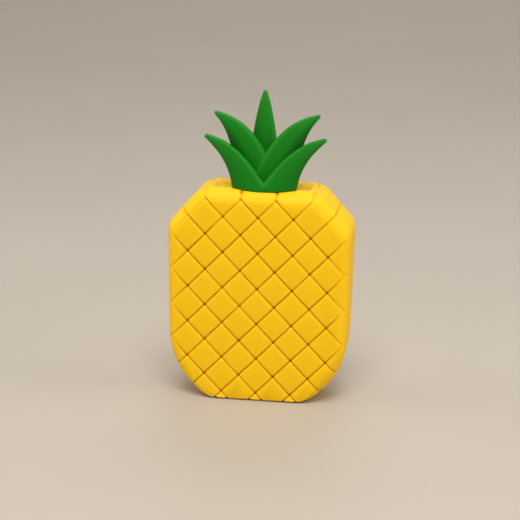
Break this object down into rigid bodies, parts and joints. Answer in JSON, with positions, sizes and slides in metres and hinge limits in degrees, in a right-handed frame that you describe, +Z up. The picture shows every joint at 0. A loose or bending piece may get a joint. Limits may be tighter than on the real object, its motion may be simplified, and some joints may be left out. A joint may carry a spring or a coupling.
{
  "type": "stylised pineapple ornament",
  "caption": "Block-shaped stylised pineapple ornament: a diamond-tiled yellow body with chamfered top corners and a green leaf crown set in its top.",
  "frame": {"origin": "middle of the flat base the ornament stands on", "axes": "+Z up to the crown's tip, the front faces -Y, +X to the front view's right"},
  "size_m": [0.0786, 0.031, 0.1333],
  "materials": {
    "body_yellow": "satin moulded, yellow",
    "crown_green": "satin moulded, green"
  },
  "bodies": {
    "root": {"body": "body_yellow", "crown": "crown_green"}
  },
  "joints": []
}
